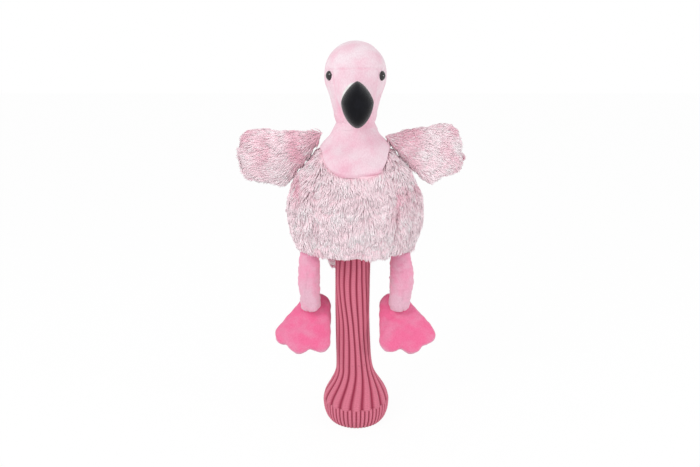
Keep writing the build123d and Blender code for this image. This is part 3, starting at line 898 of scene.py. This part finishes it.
class CoverHead(bpy.types.Operator):
    """Builds the head's skin: from a point inside, each direction's distance to the joined shapes."""

    bl_idname = "cover.head"
    bl_label = "Head"

    def execute(self, context):
        drop, angle = ring_grid(np.linspace(0.01, math.pi - 0.01, 170), 240)
        drop = math.pi - drop
        ways = np.stack([np.sin(drop) * np.cos(angle), np.sin(drop) * np.sin(angle), np.cos(drop)], -1)
        radius = star_radius(HEAD_MIDDLE, ways, head_distance, 90)
        grid = HEAD_MIDDLE + ways * radius[..., None]
        seams = face_seams(grid)
        eyes = sum(
            np.exp(-(np.linalg.norm(grid - EYE_CENTRE * (side, 1, 1), axis=-1) / 7.5) ** 2)
            for side in SIDES.values()
        )
        soft = 0.35 * waves(grid, 20, 41)
        grid = grid + ways * (0.4 * soft - 0.75 * seams + 0.5 * eyes)[..., None]
        tint = 0.12 + 0.25 * seams + 0.16 * waves(grid, 20, 42)
        # painted shade: the head is drawn pinker and darker towards its underside
        tint += 0.3 * smoothstep(HEAD_Z - grid[..., 2], 12, 40)
        head = closed_mesh("head_skin", grid, {"tint": tint.ravel()})
        dress(head, "head", bib_cloth())
        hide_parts("crown_panel", "face_panel", "cheek_panel_left", "cheek_panel_right")
        return {"FINISHED"}


class CoverBeak(bpy.types.Operator):
    """Builds the two halves of the beak. A section is |x/w|^p + |z/h|^p = 1, a rounded kite: p is 1.4
    above its widest place and 1.7 below, where it is taller. It shrinks as a cosine while it runs
    forwards as a sine."""

    bl_idname = "cover.beak"
    bl_label = "Beak"

    def execute(self, context):
        cloth = velour("black_velour", tuple(settings("velour").black), linear("14151C"), 12.0, 0.8)
        middle = np.array((BEAK_LEAN, BEAK_SEAM_Y, HEAD_Z - 27.0))
        for name, side in SIDES.items():
            turn, share = np.meshgrid(np.linspace(-90, 90, 60), np.linspace(0, 1, 40), indexing="xy")
            turn = np.radians(turn)
            tall = np.where(turn > 0, 20.5, 25.5)
            power = np.where(turn > 0, 1.4, 1.7)
            reach = ((np.cos(turn) / 16.2) ** power + (np.abs(np.sin(turn)) / tall) ** power) ** (-1 / power)
            shrink = np.cos(share * math.pi / 2) ** 0.7
            forward = 17.2 * np.sin(share * math.pi / 2)
            x = reach * np.cos(turn) * shrink
            groove = 0.7 * np.exp(-((x / 0.9) ** 2)) * smoothstep(1 - share, 0, 0.1)
            grid = np.stack([
                side * x,
                -forward + groove,
                reach * np.sin(turn) * shrink - 6.0 * share**2,
            ], -1) + middle
            back = grid[:1].copy()
            back[..., 1] += 2.5
            grid = np.concatenate([middle + (0, 2.5, 0) + 0 * back, back, grid])
            rows, columns = grid.shape[:2]
            faces = grid_faces(rows, columns, False)
            faces = faces if side < 0 else faces[:, ::-1]
            half = make_mesh(f"beak_half_{name}", grid, [faces], {"tint": np.zeros(rows * columns)})
            add_modifier(half, "WELD", merge_threshold=0.05 * MM)
            dress(half, "head", cloth, [f"beak_{name}"])
        return {"FINISHED"}


# ---------------------------------------------------------------- wings

# share of the length, half height and half thickness in mm at the pile's backing
WING_STATIONS = (
    (0.0, 35.0, 3.5), (0.15, 32.0, 6.0), (0.4, 28.0, 8.5), (0.7, 27.0, 9.0),
    (0.87, 24.5, 7.5), (0.96, 18.5, 5.5), (1.0, 10.0, 3.0),
)
WING_POSE = {"left": (0.0, 0.0), "right": (28.0, 8.0)}
WING_LENGTH = 67.0
WING_TIP_START = 35.0
WING_VOXEL = 3.5
HELD_AT_WING_ROOT = 6.0  # mm beyond the seam in which stuffing moves nothing
SEAM_SLANT = math.degrees(math.atan2(42, 57))
# share of the length, and how much of the seam's slant is left there
SLANT_SHARES = ((0, 1.0), (0.3, 0.6), (0.63, 0.2), (0.87, 0), (1, 0))


def wing_axes(name):
    """The wing's outward, upward and forward directions, swept back about its seam."""
    side = SIDES[name]
    sweep = -math.radians(WING_POSE[name][0])
    return [turned(v, AXIS[f"wing_swing_{name}"], sweep) for v in ((side, 0, 0), (0, 0, 1), (0, -1, 0))]


def wing_grid(name):
    """The wing's backing: sections |u/h|^2.4 + |v/t|^2.4 = 1 across a line that climbs outwards, the
    first ones slanted with the shoulder."""
    outward, upward, forward = wing_axes(name)
    lift = math.radians(WING_POSE[name][1])
    share, turn = ring_grid(np.sin(np.linspace(0, math.pi / 2, 34)), 72)
    sizes = smooth_curve(share, WING_STATIONS)
    power = 2 / 2.4
    tall = sizes[..., 0] * np.sign(np.sin(turn)) * np.abs(np.sin(turn)) ** power
    thick = sizes[..., 1] * np.sign(np.cos(turn)) * np.abs(np.cos(turn)) ** power
    slant = np.radians(SEAM_SLANT * smooth_curve(share, SLANT_SHARES)) + lift
    out = share * WING_LENGTH * math.cos(lift) - tall * np.sin(slant)
    up = share * WING_LENGTH * (math.sin(lift) + 0.07) + tall * np.cos(slant)
    place = out[..., None] * outward + up[..., None] * upward + thick[..., None] * forward
    grid = PIVOT[f"wing_swing_{name}"] + place
    return grid if SIDES[name] > 0 else grid[:, ::-1]


class CoverWings(bpy.types.Operator):
    """Builds the two stuffed wings and their pile, which is pinker on the tip's own panel."""

    bl_idname = "cover.wings"
    bl_label = "Wings"

    def execute(self, context):
        cloth = long_plush()
        swell = settings("stuffing").wing_swell
        for number, name in enumerate(LEFT_RIGHT):
            root = PIVOT[f"wing_swing_{name}"]
            outward, upward, _ = wing_axes(name)
            pad = closed_mesh(f"wing_pad_{name}", wing_grid(name))
            stuff(pad, WING_VOXEL, swell, lambda at: (at - root) @ outward < HELD_AT_WING_ROOT)
            # the pad is drawn mostly in the root colour, the painted shade deep in the pile
            info = np.tile((0.3, 0.4, 0.5), (len(pad.data.vertices), 1))
            set_attribute(pad.data, "pile", info)

            def lay(points, normals):
                return outward - upward * 0.28 + 0 * points

            def pink_and_shade(points):
                out = (points - root) @ outward
                seam = np.exp(-(((out - WING_TIP_START) / 3) ** 2))
                # painted shade: pinker and darker where the wing meets the body
                root_shade = 1 - smoothstep(out, 2, 20)
                tip = smoothstep(out, WING_TIP_START, WING_TIP_START + 6)
                return 0.2 + 0.3 * tip + 0.3 * seam + 0.55 * root_shade

            locks = plush_on(
                pad, f"wing_pile_{name}", settings("plush").wing_locks, 200 + 10 * number, lay, pink_and_shade,
                length=0.85, rise=0.8,
            )
            dress(pad, f"wing_{name}", cloth)
            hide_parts(f"wing_front_{name}", f"wing_back_{name}", f"wing_tip_{name}")
            dress(locks, f"wing_{name}", cloth)
        return {"FINISHED"}


# ---------------------------------------------------------------- legs, feet and tail

LIMB_VOXEL = 2.6
HELD_ABOVE_HIP = 4.0  # mm above the hip, from where stuffing moves nothing
LEG_TOP, LEG_BOTTOM = -10.5, 62.5  # mm below the hip
# mm below the hip, radius, and how far the leg bows outwards
LEG_STATIONS = {
    "left": (
        (-10.5, 6.0, 0.0), (-6, 9.6, 0.0), (0, 10.9, 0.0), (16, 12.0, 0.6), (32, 11.9, 0.8), (44, 11.2, 0.0),
        (54, 11.3, -0.6), (59, 10.2, -0.6), (62.5, 6.0, -0.6),
    ),
    "right": (
        (-10.5, 6.0, 0.0), (-6, 9.6, 0.0), (0, 11.0, 0.0), (16, 12.9, 1.0), (32, 13.2, 1.2), (44, 12.2, 0.0),
        (54, 11.6, -0.8), (59, 10.4, -0.8), (62.5, 6.0, -0.8),
    ),
}


class CoverLegs(bpy.types.Operator):
    """Builds the two stuffed legs. Each is a round tube along a slightly bowed line, swollen, with a
    seam down its front and fine wrinkles across it."""

    bl_idname = "cover.legs"
    bl_label = "Legs"

    def execute(self, context):
        rules = settings("velour")
        cloth = velour("leg_short_pile", tuple(rules.leg), tuple(rules.leg_pale), 14.0, 0.8)
        for name, side in SIDES.items():
            hip = PIVOT[f"hip_{name}"]
            stations = np.array(LEG_STATIONS[name])
            drop, angle = ring_grid(np.linspace(LEG_BOTTOM, LEG_TOP, 48), 48)
            sizes = smooth_curve(drop, stations)
            radius = sizes[..., 0]
            grid = hip + np.stack([
                side * sizes[..., 1] + radius * np.cos(angle), radius * np.sin(angle), -drop
            ], -1)
            leg = closed_mesh(f"leg_{name}", grid)
            swell = settings("stuffing").leg_swell
            stuff(leg, LIMB_VOXEL, swell, lambda at: at[:, Z] > hip[Z] + HELD_ABOVE_HIP)
            points, normals = points_of(leg), normals_of(leg)
            below = hip[Z] - points[:, Z]
            line = points[:, X] - hip[X] - side * 3.0 - 1.2 * np.sin(below / 9)
            seam = np.exp(-((line / 0.8) ** 2)) * (points[:, Y] < hip[Y]) * smoothstep(below, 4, 20)
            across = points * (0.25, 0.25, 1)
            wrinkles = 0.28 * waves(across, 3.4, 51) + 0.3 * waves(points, 9, 52)
            set_points(leg, points + normals * (wrinkles - 1.0 * seam)[:, None])
            tint = 0.1 + 0.75 * smoothstep(below, 12, 55) + 0.12 * waves(points, 10, 53)
            set_attribute(leg.data, "tint", tint)
            dress(leg, f"leg_{name}", cloth, [f"leg_skin_{name}"])
        return {"FINISHED"}


FOOT_TILT = math.radians(35)
FOOT_NORMAL = np.array((0, -math.cos(FOOT_TILT), math.sin(FOOT_TILT)))
FOOT_UP = np.array((0, math.sin(FOOT_TILT), math.cos(FOOT_TILT)))
FOOT_DROP = 17.5  # ankle's centre to the middle of the foot's thickness
HELD_AT_SEAM = 1.2  # mm each side of the foot's seam in which stuffing moves nothing
FOOT_HALF_THICKNESS = 8.9
# centres outwards and along the foot, and radii, of the toes and of each toe's end at the heel
TOES = ((-10.5, -40.0, 13.0), (12.5, -42.0, 12.8), (28.5, -32.5, 12.0))
HEELS = ((-9.0, 1.0, 14.0), (0.0, 0.0, 13.0), (0.0, 0.0, 13.0))
PALM = (5.0, -20.0)


def foot_outline(turn, side):
    """Distance from the palm's middle to the foot's edge in each direction: three round-ended toes
    that fan out from the heel, joined with soft corners."""
    ways = np.stack([np.cos(turn), np.sin(turn), 0 * turn], -1)
    middle = np.array((side * PALM[0], PALM[1], 0.0))

    def distance(points):
        parts = [
            round_cone(points, (side * back[0], back[1], 0), (side * toe[0], toe[1], 0), back[2], toe[2])
            for back, toe in zip(HEELS, TOES)
        ]
        return merged(merged(parts[0], parts[1], 2.5), parts[2], 2.5)

    return star_radius(middle, ways, distance, 60)


class CoverFeet(bpy.types.Operator):
    """Builds the two stuffed feet. From the palm's middle, share s of the way to the edge, the foot is
    half * (1 - s^4.4)^0.5 thick on each side, with shallow valleys between the toes."""

    bl_idname = "cover.feet"
    bl_label = "Feet"

    def execute(self, context):
        rules = settings("velour")
        cloth = velour("foot_short_pile", tuple(rules.foot), tuple(rules.foot_rim_sheen), 18.0, 0.8)
        for name, side in SIDES.items():
            centre = PIVOT[f"ankle_{name}"] - FOOT_NORMAL * FOOT_DROP
            swing, turn = ring_grid(np.linspace(0.04, math.pi - 0.04, 40), 120)
            edge = foot_outline(turn, side)
            share = np.sin(swing)
            thick = FOOT_HALF_THICKNESS * np.sqrt(np.clip(1 - share**4.4, 0, 1)) * np.sign(np.cos(swing))
            flat_x = side * PALM[0] + share * edge * np.cos(turn)
            flat_y = PALM[1] + share * edge * np.sin(turn)
            grid = centre + flat_x[..., None] * np.array((1, 0, 0)) + flat_y[..., None] * FOOT_UP
            grid = grid - thick[..., None] * FOOT_NORMAL
            foot = closed_mesh(f"foot_{name}", grid)

            def depth_of(points):
                return (points - centre) @ FOOT_NORMAL

            swell = settings("stuffing").foot_swell
            stuff(foot, LIMB_VOXEL, swell, lambda at: np.abs(depth_of(at)) < HELD_AT_SEAM)
            points, normals = points_of(foot), normals_of(foot)
            depth = depth_of(points)
            seam = np.exp(-((depth / 0.7) ** 2))
            soft = 0.35 * waves(points, 9, 61)
            set_points(foot, points + normals * (soft - 0.6 * seam)[:, None])
            # painted sheen: the seam's rim and the under side are drawn in the lighter colour
            tint = 0.95 * (1 - smoothstep(depth, 0.5, 4.5)) + 0.06 * waves(points, 12, 62)
            set_attribute(foot.data, "tint", tint)
            dress(foot, f"foot_{name}", cloth, [f"foot_upper_{name}", f"foot_sole_{name}"])
        return {"FINISHED"}


# mm below the hinge, half width and half thickness
TAIL_STATIONS = (
    (-3.5, 9.0, 2.0), (0, 12.5, 3.2), (14, 17.0, 4.2), (27, 16.0, 4.0), (34, 9.0, 2.5), (37, 3.0, 1.0),
)


class CoverTail(bpy.types.Operator):
    """Builds the flat tail tuft: elliptical sections that widen and close again, and hanging pile."""

    bl_idname = "cover.tail"
    bl_label = "Tail"

    def execute(self, context):
        cloth = long_plush()
        hinge = PIVOT["tail_swing"]
        drop, angle = ring_grid(np.linspace(TAIL_STATIONS[-1][0], TAIL_STATIONS[0][0], 30), 48)
        sizes = smooth_curve(drop, TAIL_STATIONS)
        grid = hinge + np.stack([sizes[..., 0] * np.cos(angle), sizes[..., 1] * np.sin(angle), -drop], -1)
        # painted shade: the tail's backing and pile are drawn pinker all over, 0.6 and 0.75 of the way to the
        # pinker colour, for the shade that it hangs in under the hem
        info = np.tile((0.3, 0.4, 0.6), (drop.size, 1))
        pad = closed_mesh("tail_pad", grid, {"pile": info})
        locks = plush_on(
            pad, "tail_pile", settings("plush").tail_locks, 300, hanging,
            lambda points: 0.75 + 0 * points[:, X], length=0.8, rise=0.6,
        )
        dress(pad, "tail", cloth, ["tail_skin"])
        dress(locks, "tail", cloth)
        return {"FINISHED"}


# ---------------------------------------------------------------- sock

# height of the sock's outside in mm, and its radius
SOCK_PROFILE = (
    (0.0, 30.4), (4.0, 33.6), (11.0, 36.6), (19.0, CUFF_RADIUS), (CUFF_SEAM_Z, CUFF_RADIUS),
    (34.0, 35.6), (41.0, 32.0), (50.0, 26.6), (60.0, 22.2), (74.0, TUBE_RADIUS + 0.4),
    (90.0, TUBE_RADIUS), (214.0, TUBE_RADIUS),
)
FLARE_TOP_Z, TUBE_TOP_Z = 72.0, 213.0
CUFF_RIB_DEPTH = 1.6
# how far the sock's middle stands to the right at each height
SOCK_LEAN = ((0.0, 1.4), (40.0, 1.0), (80.0, -1.6), (120.0, -2.8), (214.0, -2.2))


def knit_relief(turn, along, ribs, stitch, vee):
    """Height of the knitting from 0 in a furrow to 1 on a rib. A rib is 1 - |w|^2.2 across its width,
    and each stitch adds a bead that leans away from the rib's middle as a V."""
    across = 2 * ((turn * ribs) % 1.0) - 1
    rib = 1 - np.abs(across) ** 2.2
    phase = along / stitch - vee * np.abs(across)
    bead = 0.5 + 0.5 * np.cos(2 * math.pi * phase)
    valley = np.exp(-((across / 0.16) ** 2))
    return rib * (0.7 + 0.3 * bead) - 0.2 * valley * vee


def knitted_tube(name, heights, ribs, columns_per_rib, depth, vee):
    """A closed knitted tube: the relief on the outside, a plain wall inside. Its ribs wander a little
    around the tube with height, as a stretched knit does."""
    rules = settings("knit")
    columns = ribs * columns_per_rib
    z, turn = np.meshgrid(heights, np.arange(columns) / columns, indexing="ij")
    radius = smooth_curve(z, SOCK_PROFILE)
    along = np.cumsum(np.hypot(np.gradient(heights), np.gradient(smooth_curve(heights, SOCK_PROFILE))))
    wander = 0.24 * smoothstep(-z, -178, -118) + 0.05 * np.sin(z / 17.0 + 4 * math.pi * turn)
    relief = knit_relief(turn, along[:, None] + 0 * turn, ribs, rules.stitch, vee)
    angle = 2 * math.pi * turn + wander * smoothstep(z, CUFF_SEAM_Z, CUFF_SEAM_Z + 40)
    rings = radius - depth * (1 - relief)
    lean = smooth_curve(z, SOCK_LEAN)
    outside = np.stack([lean + rings * np.cos(angle), rings * np.sin(angle), z], -1)
    inner_rows = np.linspace(len(heights) - 1, 0, 12).astype(int)
    inner = radius[inner_rows] - rules.wall
    inside = np.stack([
        lean[inner_rows] + inner * np.cos(angle[inner_rows]), inner * np.sin(angle[inner_rows]), z[inner_rows]
    ], -1)
    grid = np.concatenate([outside, inside, outside[:1]])
    ridge = np.concatenate([relief, np.full(inside.shape[:2], 0.3), relief[:1]])
    piece = make_mesh(name, grid, [grid_faces(len(grid), columns, True)], {"ridge": ridge.ravel()})
    add_modifier(piece, "WELD", merge_threshold=0.01 * MM)
    return piece


class CoverSock(bpy.types.Operator):
    """Builds the ribbed tube, its flare and the finer cuff."""

    bl_idname = "cover.sock"
    bl_label = "Knitted Sock"

    def execute(self, context):
        rules = settings("knit")
        cloth = yarn()
        tube = knitted_tube(
            "sock_tube_knit", np.arange(FLARE_TOP_Z, TUBE_TOP_Z, 0.52), rules.ribs, 16, rules.rib_depth, 0.5
        )
        flare = knitted_tube(
            "sock_flare_knit", np.arange(CUFF_SEAM_Z - 1, FLARE_TOP_Z + 0.01, 0.43), rules.ribs, 22,
            rules.rib_depth, 0.5,
        )
        cuff = knitted_tube(
            "sock_cuff_knit", np.linspace(0.4, CUFF_SEAM_Z, 60), rules.cuff_ribs, 8, CUFF_RIB_DEPTH, 0.25
        )
        dress(tube, "root", cloth, ["sock_tube"])
        dress(flare, "root", cloth)
        dress(cuff, "root", cloth, ["sock_cuff"])
        return {"FINISHED"}


class CoverInside(bpy.types.Operator):
    """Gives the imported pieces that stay, the eyes and what lies inside, their own materials."""

    bl_idname = "cover.inside"
    bl_label = "Eyes and Inside"

    def execute(self, context):
        finishes = {
            "eye_plastic": moulded("gloss_black_acrylic", "050405", 0.12, 0.3),
            "washer_plastic": moulded("white_polythene", "E6E6E4", 0.45),
            "woven_lining": plain_cloth("woven_polyester_lining", "E9D3DA", 0.6),
            "polyester_padding": wadding("bonded_polyester_wadding", "F1F1EE", 6.0),
            "polyester_fibre": wadding("loose_polyester_fibre", "F4F4F2", 9.0),
        }
        slots = {part["node"]: part["material_slot"] for part in frame["record"]["subparts"]}
        for name, node in frame["nodes"].items():
            if slots[name] in finishes:
                node.data.materials.clear()
                node.data.materials.append(finishes[slots[name]])
        return {"FINISHED"}


# ---------------------------------------------------------------- stage

# name, place, the point that it faces, and width, in metres
LAMPS = (
    ("key", (-0.75, -0.9, 1.0), (0, 0, 0.26), 0.7),
    ("fill", (1.15, -0.42, 0.36), (0, 0, 0.2), 0.12),
)
FLOOR_GLOW = 0.95  # how much of the floor that the camera sees is plain white


def area_light(name, place, target, width, power):
    """A square lamp that faces a point."""
    lamp = bpy.data.lights.new(f"{name}_light", "AREA")
    lamp.size = width
    lamp.energy = power
    light = bpy.data.objects.new(f"{name}_light", lamp)
    light.location = place
    way = Vector(target) - Vector(place)
    light.rotation_euler = way.to_track_quat("-Z", "Y").to_euler()
    bpy.context.scene.collection.objects.link(light)


class CoverStage(bpy.types.Operator):
    """Builds the floor, the lights, the white surroundings and the camera."""

    bl_idname = "cover.stage"
    bl_label = "Stage"

    def execute(self, context):
        rules = settings("stage")
        scene = context.scene
        grid = np.array([[(x, y, 0.0) for x in (-4000, 4000)] for y in (-2500, 6000)], float)
        floor = make_mesh("floor", grid, [grid_faces(2, 2, False)])
        floor.data.materials.append(self.floor_paint(rules))

        camera = bpy.data.objects.new("camera", bpy.data.cameras.new("camera"))
        camera.data.lens = rules.focal_length
        camera.location = rules.camera_place
        camera.rotation_euler = (math.pi / 2 - rules.camera_tilt, 0, 0)
        scene.collection.objects.link(camera)
        scene.camera = camera

        for name, place, target, width in LAMPS:
            area_light(name, place, target, width, getattr(rules, f"{name}_power"))
        self.white_surroundings(scene, rules)
        scene.view_settings.view_transform = "Standard"
        return {"FINISHED"}

    def floor_paint(self, rules):
        """Matt white paint that a camera sees lifted towards white, so that only a soft shadow shows."""
        material = bpy.data.materials.new("matt_white_paint")
        material.use_nodes = True
        tree = material.node_tree
        tree.nodes.clear()
        matt = add_node(tree, "ShaderNodeBsdfDiffuse", {"Color": tuple(rules.floor)})
        glow = add_node(tree, "ShaderNodeEmission", {"Color": (1, 1, 1, 1), "Strength": 1.0})
        seen = add_node(tree, "ShaderNodeMath", {1: FLOOR_GLOW}, {0: self.seen(tree)}, operation="MULTIPLY")
        both = add_node(
            tree, "ShaderNodeMixShader", links={0: seen.outputs[0], 1: matt.outputs[0], 2: glow.outputs[0]}
        )
        add_node(tree, "ShaderNodeOutputMaterial", links={"Surface": both.outputs[0]})
        return material

    def seen(self, tree):
        """1 for what the camera sees straight, in a gloss or through glass, and 0 for other light."""
        path = add_node(tree, "ShaderNodeLightPath").outputs
        total = path["Is Camera Ray"]
        for other in ("Is Glossy Ray", "Is Transmission Ray"):
            both = add_node(tree, "ShaderNodeMath", links={0: total, 1: path[other]}, operation="ADD")
            total = both.outputs[0]
        return add_node(tree, "ShaderNodeMath", {1: 1.0}, {0: total}, operation="MINIMUM").outputs[0]

    def white_surroundings(self, scene, rules):
        """A world that looks white and lights the object at the sky's strength."""
        scene.world = bpy.data.worlds.new("white_surroundings")
        scene.world.use_nodes = True
        tree = scene.world.node_tree
        tree.nodes.clear()
        strength = add_node(
            tree, "ShaderNodeMapRange", {1: 0.0, 2: 1.0, 3: rules.sky, 4: 1.0}, {0: self.seen(tree)}
        )
        light = add_node(
            tree, "ShaderNodeBackground", {"Color": (1, 1, 1, 1)}, {"Strength": strength.outputs[0]}
        )
        add_node(tree, "ShaderNodeOutputWorld", links={"Surface": light.outputs[0]})


# ---------------------------------------------------------------- panel and registering

PIECES = (
    CoverStage, CoverPanels, CoverUnderside, CoverBib, CoverHead, CoverBeak, CoverWings, CoverLegs, CoverFeet,
    CoverTail, CoverSock, CoverInside,
)


class CoverSidebar(bpy.types.Panel):
    """Lists the pieces and their settings in the 3D view's sidebar."""

    bl_idname = "VIEW3D_PT_driver_cover"
    bl_label = "Driver Cover"
    bl_space_type = "VIEW_3D"
    bl_region_type = "UI"
    bl_category = "Driver Cover"

    def draw(self, context):
        for piece in PIECES:
            self.layout.operator(piece.bl_idname)
        for group, kind in SETTINGS.items():
            box = self.layout.box()
            box.label(text=group.title())
            for name in kind.__annotations__:
                box.prop(settings(group), name)


CLASSES = (*SETTINGS.values(), *PIECES, CoverSidebar)


def register():
    for kind in CLASSES:
        bpy.utils.register_class(kind)
    for group, kind in SETTINGS.items():
        setattr(bpy.types.Scene, f"cover_{group}", bpy.props.PointerProperty(type=kind))


def unregister():
    for group in SETTINGS:
        delattr(bpy.types.Scene, f"cover_{group}")
    for kind in reversed(CLASSES):
        bpy.utils.unregister_class(kind)


def main():
    """Builds every piece in order."""
    register()
    for piece in PIECES:
        family, name = piece.bl_idname.split(".")
        getattr(getattr(bpy.ops, family), name)()
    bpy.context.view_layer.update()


if __name__ == "__main__":
    main()
